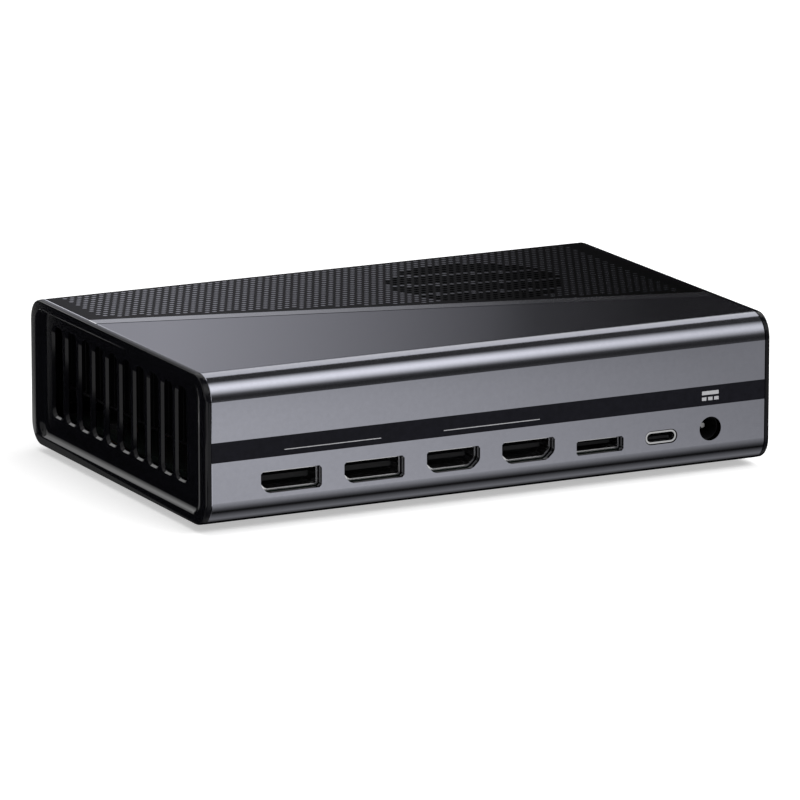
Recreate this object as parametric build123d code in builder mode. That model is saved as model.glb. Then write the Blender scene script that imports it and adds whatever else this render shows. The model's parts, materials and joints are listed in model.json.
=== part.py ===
from build123d import *
import math
import os

os.makedirs("parts", exist_ok=True)

# External graphics card enclosure: an aluminium sleeve closed by two slotted end caps, with a board,
# a blower cooler and a row of sockets inside. Millimetres, +Z up, front towards -Y. The origin is under
# the middle of the case, on the surface that the feet stand on.

# Case
case_length = 162.0
case_depth = 108.0
case_height = 39.0
edge_radius = 6.5
wall = 2.0
end_chamfer = 0.3

# Feet
foot_height = 2.0
foot_size = 13.0
foot_corner = 3.0
foot_inset_x = 10.5
foot_inset_y = 20.5
foot_bevel = 0.5

# End caps
cap_flange = 1.5
cap_rim_side = 3.0
cap_rim_top = 2.4
cap_floor = 1.2
cap_plug_depth = 5.0
cap_plug_wall = 1.6
cap_plug_corner = 4.5
cap_fit = 0.15
cap_edge_bevel = 1.0
cap_recess_draft = 50.0
slot_count = 10
slot_width = 6.9
slot_pitch = 8.45
slot_height = 24.4
slot_corner = 1.0
slot_draft = 22.0
slot_row_shift = 1.2
slot_row_rise = 1.5

# Top grille and its trim
grille_thickness = 0.2
trim_left_y = 20.0
trim_right_y = -22.0
trim_width = 4.6
trim_groove = 0.65
grille_hole_pitch = 6.0
grille_hole_size = 4.2

# Fan opening under the grille
eye_x = 31.0
eye_y = 15.5
eye_diameter = 47.0
eye_bar_count = 3
eye_bar_width = 2.8
eye_bar_pitch = 11.6

# Front band
band_rise = 16.9
band_height = 5.2
band_thickness = 0.35
band_gap = 0.05

# Board and what stands on it
standoff_height = 4.25
standoff_size = 5.0
board_thickness = 1.6
board_end_gap = 1.5
board_front_gap = 0.4
board_rear_gap = 5.6
board_hole_side = 5.0
board_hole_front = 15.0
board_hole_rear = 20.0
screw_diameter = 2.5
screw_head_width = 4.4
screw_head_height = 1.4
screw_play = 0.1
screw_sides = 8

# Sockets: their openings stand in one row between two end margins, with equal spaces
row_left = 15.55
row_right = 14.6
socket_gap = 0.15
socket_cutout_gap = 0.25
socket_sheet = 0.45
socket_back = 2.5
tongue_setback = 1.8
display_width = 16.5
display_height = 5.2
display_depth = 10.0
display_key = 1.8
display_corner = 0.5
display_tongue = (12.8, 1.3, 2.8)
video_width = 14.7
video_height = 5.35
video_depth = 9.5
video_foot_width = 10.6
video_shoulder = 1.9
video_corner = 0.45
video_tongue = (10.4, 1.1, 3.0)
link_width = 13.2
link_height = 3.4
link_depth = 9.0
link_corner = 0.4
link_tongue = (9.6, 0.8, 1.7)
reversible_width = 8.94
reversible_height = 3.2
reversible_depth = 9.0
reversible_lift = 0.5
reversible_set_back = 0.25
reversible_tongue = (6.7, 0.7, 1.6)
jack_rise = 2.8
jack_hole_diameter = 6.35
jack_bore = 6.0
jack_bore_depth = 9.5
jack_pin_diameter = 2.5
jack_body = (9.0, 12.0, 8.2)
jack_wing = 2.0
jack_wing_thickness = 1.2
jack_notch_gap = 0.15
jack_pin_setback = 2.0
jack_pin_bevel = 0.6

# Processor, memory and power parts on the board
processor_setback = 50.0
package_size = 34.0
package_thickness = 1.0
die_size = (16.0, 13.0)
die_thickness = 0.8
memory_size = (12.0, 14.0, 1.2)
memory_offset = 25.0
memory_spread = 9.0
inductor_size = (7.0, 7.0, 4.5)
inductor_bevel = 0.3
inductor_setback = 20.0
power_count = 6
power_plate_gap = 5.0
power_end_gap = 9.0
stage_size = (5.0, 6.0, 0.9)
stage_setback = 28.0
capacitor_size = (4.4, 7.0, 2.9)
capacitor_setback = 50.0
header_size = (8.0, 4.0, 4.0)
header_x = 20.0
header_rear_gap = 8.4
header_wall = 0.6

# Cooler
plate_depth = 66.0
plate_thickness = 3.0
plate_lap = 1.7
plate_eye_gap = 24.0
plate_hole_inset = 4.0
collar_size = 5.0
pipe_width = 9.0
pipe_thickness = 3.5
pipe_pitch = 14.0
pipe_bend = 9.0
pipe_corner = 1.1
pipe_end_gap = 6.0
fin_gap = 3.0
fin_length = 26.0
fin_front_gap = 13.0
fin_rear_gap = 5.0
fin_pitch = 3.0
fin_thickness = 0.4
fin_flange = 0.6
fin_headroom = 3.0
duct_gap = 0.3

# Blower
blower_rear_gap = 2.3
rotor_gap = 0.8
volute_gap = 3.0
housing_wall = 1.2
gasket_thickness = 1.0
gasket_width = 4.0
gasket_sides = 36
ear_radius = 5.0
ear_sides = 8
ear_offset = 4.0
ear_angles = (40.0, -45.0, -118.0)
cutoff_angle = 225.0
blade_count = 23
blade_chord = 6.8
blade_thickness = 0.9
blade_lead = 5.0
blade_bow = 0.55
blade_steps = 3
blade_tip_gap = 0.4
back_plate = 1.0
hub_radius = 13.0
hub_wall = 1.4
hub_drop = 3.0
shaft_diameter = 3.0
shaft_play = 0.03
shaft_end_gap = 0.5
bearing_wall = 1.7
stator_gap = 0.8
stator_height = 6.0
stator_poles = 6
stator_slot = 1.6
stator_yoke = 2.4
stator_boss = 1.4
fit_play = 0.05

# Datums worked out from the sizes above
sleeve_length = case_length - 2 * cap_flange
sleeve_end = sleeve_length / 2
front = -case_depth / 2
inner_front = front + wall
case_bottom = foot_height
case_top = case_bottom + case_height
case_middle = (case_bottom + case_top) / 2
floor_top = case_bottom + wall
ceiling = case_top - wall
board_bottom = floor_top + standoff_height
board_top = board_bottom + board_thickness
board_length = sleeve_length - 2 * (cap_plug_depth + board_end_gap)
board_front = inner_front + board_front_gap
board_rear = -inner_front - board_rear_gap
board_depth = board_rear - board_front
die_top = board_top + package_thickness + die_thickness
plate_top = die_top + plate_thickness
pipe_top = plate_top + pipe_thickness
fin_left = -sleeve_end + cap_floor + fin_gap
fin_right = fin_left + fin_length
fin_front = inner_front + fin_front_gap
fin_rear = -inner_front - fin_rear_gap
fin_top = ceiling - fin_headroom
plate_left = fin_right - plate_lap
plate_right = eye_x - plate_eye_gap
plate_length = plate_right - plate_left
processor_x = (plate_left + plate_right) / 2
processor_y = front + processor_setback
housing_bottom = pipe_top + duct_gap
housing_floor = housing_bottom + housing_wall
cover_top = ceiling - gasket_thickness
cover_bottom = cover_top - housing_wall
housing_radius = -inner_front - blower_rear_gap - eye_y
rotor_radius = housing_radius - housing_wall - volute_gap
rotor_inner_radius = rotor_radius - blade_chord
ear_reach = housing_radius + ear_offset
rotor_bottom = housing_floor + rotor_gap
rotor_top = cover_bottom - rotor_gap
trim_slope = (trim_right_y - trim_left_y) / sleeve_length
trim_angle = math.degrees(math.atan(trim_slope))
screw_hole = screw_diameter / 2 + screw_play

front_face = Plane.XZ.offset(-front)
socket_face = Plane.XZ.offset(-(inner_front + socket_gap))

# Centres of the sockets along the front
socket_widths = [display_width, display_width, video_width, video_width]
socket_widths += [link_width, reversible_width, jack_hole_diameter]
row_length = case_length - row_left - row_right
socket_space = (row_length - sum(socket_widths)) / (len(socket_widths) - 1)
socket_x = []
socket_edge = row_left - case_length / 2
for width in socket_widths:
    socket_x.append(socket_edge + width / 2)
    socket_edge += width + socket_space
display_x = socket_x[0:2]
video_x = socket_x[2:4]
link_x, reversible_x, jack_x = socket_x[4:7]


def save(part, name):
    """Label one finished piece and write it under the same name."""
    part.label = name
    export_step(part, f"parts/{name}.step")


def case_section(inset):
    """Rounded section of the case across its length, drawn smaller by an inset."""
    with BuildSketch() as section:
        with Locations((0, case_middle)):
            RectangleRounded(case_depth - 2 * inset, case_height - 2 * inset, edge_radius - inset)
    return section.sketch


def plug_section(inset):
    """Section of a cap's plug, with its corners cut off straight to clear the sleeve's inner rounds."""
    with BuildSketch() as section:
        with Locations((0, case_middle)):
            Rectangle(case_depth - 2 * inset, case_height - 2 * inset)
        chamfer(section.vertices(), cap_plug_corner)
    return section.sketch


def behind_diagonal(setback):
    """Plan of the top behind the trim's rear edge, moved towards the front by a setback."""
    left = (-sleeve_end, trim_left_y - setback)
    right = (sleeve_end, trim_right_y - setback)
    with BuildSketch() as plan:
        with BuildLine():
            Polyline(left, right, (sleeve_end, -front), (-sleeve_end, -front), close=True)
        make_face()
    return plan.sketch


def sleeve_block():
    """Outer form of the sleeve with its bevelled ends, still full."""
    with BuildPart() as block:
        with BuildSketch(Plane.YZ):
            add(case_section(0.0))
        extrude(amount=sleeve_end, both=True)
        chamfer(block.faces().filter_by(Axis.X).edges(), end_chamfer)
    return block.part


def top_sheet(setback):
    """Bent sheet of the top and the rear round, as thick as the grille, behind a diagonal edge."""
    with BuildPart() as sheet:
        add(sleeve_block())
        with BuildSketch(Plane.YZ):
            add(case_section(grille_thickness))
        extrude(amount=sleeve_end, both=True, mode=Mode.SUBTRACT)
        with BuildSketch(Plane.XY.offset(case_top - edge_radius)):
            add(behind_diagonal(setback))
        extrude(amount=edge_radius, mode=Mode.INTERSECT)
    return sheet.part


def grown_face(points, corner, grow):
    """Socket outline with eased corners, grown or shrunk all round."""
    with BuildSketch() as face:
        with BuildLine():
            Polyline(*points, close=True)
        make_face()
        chamfer(face.vertices(), corner)
        if grow:
            offset(amount=grow, kind=Kind.INTERSECTION)
    return face.sketch


def display_face(grow):
    """Wide display socket: a rectangle with its lower left corner cut off as the key."""
    left = -display_width / 2
    right = display_width / 2
    points = [(left + display_key, 0), (right, 0), (right, display_height), (left, display_height)]
    points.append((left, display_key))
    return grown_face(points, display_corner, grow)


def video_face(grow):
    """Video socket: upright sides above, drawn in towards a narrower foot."""
    half = video_width / 2
    foot = video_foot_width / 2
    points = [(-foot, 0), (foot, 0), (half, video_shoulder), (half, video_height)]
    points += [(-half, video_height), (-half, video_shoulder)]
    return grown_face(points, video_corner, grow)


def link_face(grow):
    """Link socket: a low rectangle."""
    half = link_width / 2
    return grown_face([(-half, 0), (half, 0), (half, link_height), (-half, link_height)], link_corner, grow)


def reversible_face(grow):
    """Small reversible socket: a slot with round ends, lifted off the board."""
    with BuildSketch() as face:
        with Locations((0, reversible_lift + reversible_height / 2)):
            SlotOverall(reversible_width + 2 * grow, reversible_height + 2 * grow)
    return face.sketch


def socket_shell(face, x, plane, depth):
    """Folded sheet shell of one socket, standing on the board."""
    with BuildPart() as shell:
        with BuildSketch(plane):
            with Locations((x, board_top)):
                add(face(0.0))
                add(face(-socket_sheet), mode=Mode.SUBTRACT)
        extrude(amount=-depth)
    return shell.part


def socket_insulator(face, x, plane, depth, tongue):
    """Moulded back of one socket with the contact tongue that reaches forward from it."""
    width, thickness, rise = tongue
    with BuildPart() as insulator:
        with BuildSketch(plane.offset(-depth)):
            with Locations((x, board_top)):
                add(face(-socket_sheet))
        extrude(amount=socket_back)
        with BuildSketch(plane.offset(socket_back - depth)):
            with Locations((x, board_top + rise)):
                Rectangle(width, thickness)
        extrude(amount=depth - socket_back - tongue_setback)
    return insulator.part


def screws(points, seat, length):
    """Hexagon head screws that stand on one seat height and reach down by one length."""
    with BuildPart() as group:
        with BuildSketch(Plane.XY.offset(seat)):
            with Locations(*points):
                RegularPolygon(screw_head_width / 2, 6, major_radius=False)
        extrude(amount=screw_head_height)
        with BuildSketch(Plane.XY.offset(seat)):
            with Locations(*points):
                RegularPolygon(screw_diameter / 2, screw_sides)
        extrude(amount=-length)
    return group.part


def screw_holes(points):
    """Plan of the clearance holes for screws at these points."""
    with BuildSketch() as holes:
        with Locations(*points):
            RegularPolygon(screw_hole, screw_sides, major_radius=False)
    return holes.sketch


def posts(points, size, low, high):
    """Hexagon spacers with a screw hole, all between the same two heights."""
    with BuildPart() as group:
        with BuildSketch(Plane.XY.offset(low)):
            with Locations(*points):
                RegularPolygon(size / 2, 6, major_radius=False)
            add(screw_holes(points), mode=Mode.SUBTRACT)
        extrude(amount=high - low)
    return group.part


# Fan opening: a circle crossed by bars that run with the diagonal
bar_offsets = [(i - (eye_bar_count - 1) / 2) * eye_bar_pitch for i in range(eye_bar_count)]
bar_normal = (-math.sin(math.radians(trim_angle)), math.cos(math.radians(trim_angle)))
bar_centres = [(eye_x + d * bar_normal[0], eye_y + d * bar_normal[1]) for d in bar_offsets]


def over_bar(x, y):
    """True where a grille hole at this place would stand over a bar."""
    across = (x - eye_x) * bar_normal[0] + (y - eye_y) * bar_normal[1]
    reach = (eye_bar_width + grille_hole_size) / 2
    return any(abs(across - d) < reach for d in bar_offsets)


def grille_holes():
    """Staggered hole centres over the fan opening, clear of its rim and of the bars."""
    limit = (eye_diameter - grille_hole_size) / 2
    steps = int(limit / grille_hole_pitch) + 1
    holes = []
    for row in range(-2 * steps, 2 * steps + 1):
        for column in range(-steps, steps + 1):
            x = (column + 0.5 * (row % 2)) * grille_hole_pitch
            y = row * grille_hole_pitch / 2
            inside = math.hypot(x, y) < limit
            if inside and not over_bar(eye_x + x, eye_y + y):
                holes.append((eye_x + x, eye_y + y))
    return holes


# Sleeve
with BuildPart() as sleeve:
    add(sleeve_block())
    with BuildSketch(Plane.YZ):
        add(case_section(wall))
    extrude(amount=sleeve_end, both=True, mode=Mode.SUBTRACT)
    add(top_sheet(trim_width + trim_groove), mode=Mode.SUBTRACT)
    with BuildSketch(front_face):
        with Locations((0, case_bottom + band_rise + band_height / 2)):
            Rectangle(sleeve_length, band_height)
    extrude(amount=-band_thickness - band_gap, mode=Mode.SUBTRACT)
    with BuildSketch(front_face):
        for x in display_x:
            with Locations((x, board_top)):
                add(display_face(socket_cutout_gap))
        for x in video_x:
            with Locations((x, board_top)):
                add(video_face(socket_cutout_gap))
        with Locations((link_x, board_top)):
            add(link_face(socket_cutout_gap))
        with Locations((reversible_x, board_top)):
            add(reversible_face(socket_cutout_gap))
        with Locations((jack_x, board_top + jack_rise)):
            Circle(jack_hole_diameter / 2)
    extrude(amount=-wall, mode=Mode.SUBTRACT)
    with BuildSketch(Plane.XY.offset(ceiling)):
        with Locations((eye_x, eye_y)):
            Circle(eye_diameter / 2)
        with Locations(*bar_centres):
            Rectangle(2 * eye_diameter, eye_bar_width, rotation=trim_angle, mode=Mode.SUBTRACT)
    extrude(amount=wall, mode=Mode.SUBTRACT)
save(sleeve.part, "sleeve")

# Top grille: dark sheet behind the diagonal, bent down over the rear round
with BuildPart() as top_grille:
    add(top_sheet(0.0))
    with BuildSketch(Plane.XY.offset(case_top)):
        with Locations(*grille_holes()):
            RegularPolygon(grille_hole_size / 2, 6)
    extrude(amount=-grille_thickness, mode=Mode.SUBTRACT)
save(top_grille.part, "top_grille")

# Grille trim: flat strip between the grille and the groove along the diagonal
with BuildPart() as grille_trim:
    add(top_sheet(trim_width))
    with BuildSketch(Plane.XY.offset(case_top - edge_radius)):
        add(behind_diagonal(0.0))
    extrude(amount=edge_radius, mode=Mode.SUBTRACT)
save(grille_trim.part, "grille_trim")

# Front band: black inlay in its groove, a little below the face around it
with BuildPart() as front_band:
    add(sleeve_block())
    with BuildSketch(front_face.offset(-band_gap)):
        with Locations((0, case_bottom + band_rise + band_height / 2)):
            Rectangle(sleeve_length, band_height - 2 * band_gap)
    extrude(amount=-band_thickness, mode=Mode.INTERSECT)
save(front_band.part, "front_band")

# End caps: flange with a recessed field, a slotted floor and a plug that fits in the sleeve
with BuildPart() as left_end_cap:
    with BuildSketch(Plane.YZ.offset(-sleeve_end)):
        add(case_section(0.0))
    extrude(amount=-cap_flange)
    with BuildSketch(Plane.YZ.offset(-sleeve_end)):
        add(plug_section(wall + cap_fit))
    extrude(amount=cap_plug_depth)
    with BuildSketch(Plane.YZ.offset(-sleeve_end + cap_floor)):
        add(plug_section(wall + cap_fit + cap_plug_wall))
    extrude(amount=cap_plug_depth, mode=Mode.SUBTRACT)
    with BuildSketch(Plane.YZ.offset(-sleeve_end - cap_flange)):
        with Locations((0, case_middle)):
            field_depth = case_depth - 2 * cap_rim_side
            field_height = case_height - 2 * cap_rim_top
            RectangleRounded(field_depth, field_height, edge_radius - cap_rim_top)
    extrude(amount=cap_flange, taper=cap_recess_draft, mode=Mode.SUBTRACT)
    outer_rim = left_end_cap.faces().sort_by(Axis.X)[0]
    chamfer(outer_rim.outer_wire().edges(), cap_edge_bevel)
    with BuildSketch(Plane.YZ.offset(-sleeve_end)) as slots:
        with Locations((slot_row_shift, case_middle + slot_row_rise)):
            with GridLocations(slot_pitch, 1, slot_count, 1):
                Rectangle(slot_width, slot_height)
        chamfer(slots.vertices(), slot_corner)
    extrude(amount=cap_floor, taper=slot_draft, mode=Mode.SUBTRACT)
save(left_end_cap.part, "left_end_cap")

with BuildPart() as right_end_cap:
    mirror(left_end_cap.part, about=Plane.YZ)
save(right_end_cap.part, "right_end_cap")

# Feet
for side_x, side_name in ((-1, "left"), (1, "right")):
    for side_y, end_name in ((-1, "front"), (1, "rear")):
        with BuildPart() as foot:
            with BuildSketch(Plane.XY) as pad:
                foot_x = side_x * (case_length / 2 - foot_inset_x)
                foot_y = side_y * (case_depth / 2 - foot_inset_y)
                with Locations((foot_x, foot_y)):
                    Rectangle(foot_size, foot_size)
                chamfer(pad.vertices(), foot_corner)
            extrude(amount=foot_height)
            chamfer(foot.faces().sort_by(Axis.Z)[0].edges(), foot_bevel)
        save(foot.part, f"foot_{end_name}_{side_name}")

# Sockets
for number, x in enumerate(display_x, start=1):
    save(socket_shell(display_face, x, socket_face, display_depth), f"wide_display_shell_{number}")
    tongue = socket_insulator(display_face, x, socket_face, display_depth, display_tongue)
    save(tongue, f"wide_display_tongue_{number}")
for number, x in enumerate(video_x, start=1):
    save(socket_shell(video_face, x, socket_face, video_depth), f"video_shell_{number}")
    tongue = socket_insulator(video_face, x, socket_face, video_depth, video_tongue)
    save(tongue, f"video_tongue_{number}")
save(socket_shell(link_face, link_x, socket_face, link_depth), "link_shell")
save(socket_insulator(link_face, link_x, socket_face, link_depth, link_tongue), "link_tongue")

# The small reversible socket reaches through its cut-out, almost to the front face, on two side legs
reversible_face_plane = front_face.offset(-reversible_set_back)
with BuildPart() as reversible_shell:
    add(socket_shell(reversible_face, reversible_x, reversible_face_plane, reversible_depth))
    leg_depth = reversible_depth - (wall - reversible_set_back) - board_front_gap
    with BuildSketch(Plane.XY.offset(board_top)):
        with Locations((reversible_x, board_front + leg_depth / 2)):
            with GridLocations(reversible_width - reversible_height, 1, 2, 1):
                Rectangle(socket_sheet, leg_depth)
    extrude(amount=reversible_lift + socket_sheet / 2)
save(reversible_shell.part, "reversible_shell")
tongue = socket_insulator(
    reversible_face, reversible_x, reversible_face_plane, reversible_depth, reversible_tongue
)
save(tongue, "reversible_tongue")

# Power jack: sunk in a notch of the board and carried by two wings
jack_width, jack_depth, jack_height = jack_body
jack_axis = board_top + jack_rise
with BuildPart() as jack_housing:
    with BuildSketch(socket_face):
        with Locations((jack_x, jack_axis)):
            Rectangle(jack_width, jack_height)
    extrude(amount=-jack_depth)
    with BuildSketch(Plane.XY.offset(board_top)):
        with Locations((jack_x, board_front + jack_depth / 2)):
            Rectangle(jack_width + 2 * jack_wing, jack_depth - 2 * jack_wing)
    extrude(amount=jack_wing_thickness)
    with BuildSketch(socket_face):
        with Locations((jack_x, jack_axis)):
            Circle(jack_bore / 2)
    extrude(amount=-jack_bore_depth, mode=Mode.SUBTRACT)
save(jack_housing.part, "jack_housing")

with BuildPart() as jack_pin:
    with BuildSketch(socket_face.offset(-jack_bore_depth)):
        with Locations((jack_x, jack_axis)):
            Circle(jack_pin_diameter / 2)
    extrude(amount=jack_bore_depth - jack_pin_setback)
    chamfer(jack_pin.faces().sort_by(Axis.Y)[0].edges(), jack_pin_bevel)
save(jack_pin.part, "jack_pin")

# Board on its stand-offs
hole_x = board_length / 2 - board_hole_side
hole_rows = (board_front + board_hole_front, board_rear - board_hole_rear)
board_holes = [(side * hole_x, y) for side in (-1, 1) for y in hole_rows]
ear_points = []
for angle in ear_angles:
    ear_x = eye_x + ear_reach * math.cos(math.radians(angle))
    ear_y = eye_y + ear_reach * math.sin(math.radians(angle))
    ear_points.append((ear_x, ear_y))
plate_hole_x = plate_length / 2 - plate_hole_inset
plate_hole_y = plate_depth / 2 - plate_hole_inset
plate_holes = [
    (processor_x + sx * plate_hole_x, processor_y + sy * plate_hole_y) for sx in (-1, 1) for sy in (-1, 1)
]

with BuildPart() as graphics_board:
    with BuildSketch(Plane.XY.offset(board_bottom)):
        with Locations((0, board_front + board_depth / 2)):
            Rectangle(board_length, board_depth)
        with Locations((jack_x, board_front + jack_depth / 2)):
            notch_width = jack_width + 2 * jack_notch_gap
            Rectangle(notch_width, jack_depth + 2 * jack_notch_gap, mode=Mode.SUBTRACT)
        add(screw_holes(board_holes + ear_points + plate_holes), mode=Mode.SUBTRACT)
    extrude(amount=board_thickness)
save(graphics_board.part, "graphics_board")

save(posts(board_holes, standoff_size, floor_top, board_bottom), "board_standoffs")
save(screws(board_holes, board_top, board_thickness + standoff_height / 2), "board_screws")

# Processor and memory
with BuildPart() as processor_package:
    with BuildSketch(Plane.XY.offset(board_top)):
        with Locations((processor_x, processor_y)):
            Rectangle(package_size, package_size)
    extrude(amount=package_thickness)
save(processor_package.part, "processor_package")

with BuildPart() as processor_die:
    with BuildSketch(Plane.XY.offset(board_top + package_thickness)):
        with Locations((processor_x, processor_y)):
            Rectangle(*die_size)
    extrude(amount=die_thickness)
save(processor_die.part, "processor_die")

memory_length, memory_width, memory_thickness = memory_size
memory_points = [
    (processor_x + sx * memory_spread, processor_y + sy * memory_offset) for sx in (-1, 1) for sy in (-1, 1)
]
with BuildPart() as memory_chips:
    with BuildSketch(Plane.XY.offset(board_top)):
        with Locations(*memory_points):
            Rectangle(memory_length, memory_width)
    extrude(amount=memory_thickness)
save(memory_chips.part, "memory_chips")

with BuildPart() as thermal_pads:
    with BuildSketch(Plane.XY.offset(board_top + memory_thickness)):
        with Locations(*memory_points):
            Rectangle(memory_length, memory_width)
    extrude(amount=die_top - board_top - memory_thickness)
save(thermal_pads.part, "thermal_pads")

# Power parts: rows of inductors, power stages and capacitors
inductor_length, inductor_width, inductor_height = inductor_size
power_left = plate_right + power_plate_gap + inductor_length / 2
power_right = board_length / 2 - power_end_gap - inductor_length / 2
power_pitch = (power_right - power_left) / (power_count - 1)
power_row_x = (power_left + power_right) / 2
with BuildPart() as power_inductors:
    with BuildSketch(Plane.XY.offset(board_top)):
        with Locations((power_row_x, front + inductor_setback)):
            with GridLocations(power_pitch, 1, power_count, 1):
                Rectangle(inductor_length, inductor_width)
    extrude(amount=inductor_height)
    chamfer(power_inductors.faces().group_by(Axis.Z)[-1].edges(), inductor_bevel)
save(power_inductors.part, "power_inductors")

stage_length, stage_width, stage_height = stage_size
with BuildPart() as power_stages:
    with BuildSketch(Plane.XY.offset(board_top)):
        with Locations((power_row_x, front + stage_setback)):
            with GridLocations(power_pitch, 1, power_count, 1):
                Rectangle(stage_length, stage_width)
    extrude(amount=stage_height)
save(power_stages.part, "power_stages")

capacitor_length, capacitor_width, capacitor_height = capacitor_size
with BuildPart() as power_capacitors:
    with BuildSketch(Plane.XY.offset(board_top)):
        with Locations((power_row_x, front + capacitor_setback)):
            with GridLocations(power_pitch, 1, power_count, 1):
                Rectangle(capacitor_length, capacitor_width)
    extrude(amount=capacitor_height)
save(power_capacitors.part, "power_capacitors")

header_length, header_width, header_height = header_size
header_y = board_rear - header_rear_gap
with BuildPart() as fan_header:
    with BuildSketch(Plane.XY.offset(board_top)):
        with Locations((header_x, header_y)):
            Rectangle(header_length, header_width)
    extrude(amount=header_height)
    with BuildSketch(Plane.XY.offset(board_top + header_height)):
        with Locations((header_x, header_y)):
            Rectangle(header_length - 2 * header_wall, header_width - 2 * header_wall)
    extrude(amount=-header_height / 2, mode=Mode.SUBTRACT)
save(fan_header.part, "fan_header")

# Cold plate, its collars and screws
with BuildPart() as cold_plate:
    with BuildSketch(Plane.XY.offset(die_top)):
        with Locations((processor_x, processor_y)):
            Rectangle(plate_length, plate_depth)
        add(screw_holes(plate_holes), mode=Mode.SUBTRACT)
    extrude(amount=plate_thickness)
save(cold_plate.part, "cold_plate")

save(posts(plate_holes, collar_size, board_top, die_top), "cold_plate_collars")
save(screws(plate_holes, plate_top, plate_top - board_bottom), "cold_plate_screws")

# Flat heat pipes: side by side over the processor, then spread out under the fins
pipe_start = plate_right - pipe_width / 2
pipe_middle = plate_top + pipe_thickness / 2
rear_run = processor_y + pipe_pitch
front_run = processor_y - pipe_pitch
rear_turn_x = fin_right - pipe_width
front_turn_x = fin_right - 1.5 * pipe_width
routes = {
    "heat_pipe_rear": [(pipe_start, rear_run), (rear_turn_x, rear_run), (rear_turn_x, fin_rear)],
    "heat_pipe_middle": [(pipe_start, processor_y), (fin_left + pipe_end_gap, processor_y)],
    "heat_pipe_front": [(pipe_start, front_run), (front_turn_x, front_run), (front_turn_x, fin_front)],
}
for name, route in routes.items():
    points = [(x, y, pipe_middle) for x, y in route]
    with BuildPart() as heat_pipe:
        with BuildLine() as run:
            if len(points) > 2:
                FilletPolyline(*points, radius=pipe_bend)
            else:
                Line(*points)
        with BuildSketch(Plane(points[0], x_dir=(0, 1, 0), z_dir=(-1, 0, 0))) as section:
            Rectangle(pipe_width, pipe_thickness)
            chamfer(section.vertices(), pipe_corner)
        sweep()
    save(heat_pipe.part, name)

# Fin stack: closed channels from the blower to the left vent slots
channel_count = int((fin_rear - fin_front - fin_thickness) / fin_pitch)
channel_height = fin_top - pipe_top - 2 * fin_flange
with BuildPart() as fin_stack:
    with BuildSketch(Plane.YZ.offset(fin_left)):
        with Locations(((fin_front + fin_rear) / 2, (fin_top + pipe_top) / 2)):
            Rectangle(channel_count * fin_pitch + fin_thickness, fin_top - pipe_top)
            with GridLocations(fin_pitch, 1, channel_count, 1):
                Rectangle(fin_pitch - fin_thickness, channel_height, mode=Mode.SUBTRACT)
    extrude(amount=fin_length)
save(fin_stack.part, "fin_stack")


def volute_plan(inset):
    """Plan of the blower housing: a circle that opens into a flared outlet towards the fins."""
    radius = housing_radius - inset
    cutoff = math.radians(cutoff_angle)
    tongue = (eye_x + radius * math.cos(cutoff), eye_y + radius * math.sin(cutoff))
    mouth = fin_right + duct_gap
    with BuildSketch() as plan:
        with Locations((eye_x, eye_y)):
            Circle(radius)
        with BuildLine():
            Polyline(
                (eye_x, eye_y + radius),
                (mouth, fin_rear + housing_wall - inset),
                (mouth, fin_front - housing_wall + inset),
                tongue,
                (eye_x, eye_y),
                close=True,
            )
        make_face()
    return plan.sketch


# Blower housing: floor, side wall and three ears
with BuildPart() as blower_housing:
    with BuildSketch(Plane.XY.offset(housing_bottom)):
        add(volute_plan(0.0))
        with Locations(*ear_points):
            RegularPolygon(ear_radius, ear_sides)
        add(screw_holes(ear_points), mode=Mode.SUBTRACT)
    extrude(amount=housing_wall)
    with BuildSketch(Plane.XY.offset(housing_floor)):
        add(volute_plan(0.0))
        add(volute_plan(housing_wall), mode=Mode.SUBTRACT)
    extrude(amount=cover_bottom - housing_floor)
    with BuildSketch(Plane.XY.offset(housing_floor)):
        with Locations((eye_x, eye_y)):
            Circle(hub_radius - 2 * hub_wall - stator_yoke)
    extrude(amount=stator_boss)
    bearing_radius = shaft_diameter / 2 + bearing_wall
    with BuildSketch(Plane.XY.offset(housing_floor)):
        with Locations((eye_x, eye_y)):
            Circle(bearing_radius + fit_play)
    extrude(amount=stator_boss, mode=Mode.SUBTRACT)
save(blower_housing.part, "blower_housing")

save(posts(ear_points, standoff_size, board_top, housing_bottom), "blower_posts")
save(screws(ear_points, housing_floor, housing_floor - board_bottom), "blower_screws")

with BuildPart() as blower_cover:
    with BuildSketch(Plane.XY.offset(cover_bottom)):
        add(volute_plan(0.0))
        with Locations((eye_x, eye_y)):
            Circle(eye_diameter / 2, mode=Mode.SUBTRACT)
    extrude(amount=housing_wall)
save(blower_cover.part, "blower_cover")

with BuildPart() as intake_gasket:
    with BuildSketch(Plane.XY.offset(cover_top)):
        with Locations((eye_x, eye_y)):
            RegularPolygon(eye_diameter / 2 + gasket_width, gasket_sides, major_radius=False)
            RegularPolygon(eye_diameter / 2, gasket_sides, major_radius=False, mode=Mode.SUBTRACT)
    extrude(amount=gasket_thickness)
save(intake_gasket.part, "intake_gasket")

# Blower motor: bearing tube and stator stand on the housing floor
hub_top = rotor_top - hub_drop
hub_inside = hub_top - hub_wall
with BuildPart() as bearing_tube:
    with BuildSketch(Plane.XY.offset(housing_floor)):
        with Locations((eye_x, eye_y)):
            Circle(bearing_radius)
            Circle(shaft_diameter / 2 + shaft_play, mode=Mode.SUBTRACT)
    extrude(amount=hub_inside - rotor_gap - housing_floor)
save(bearing_tube.part, "bearing_tube")

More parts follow.
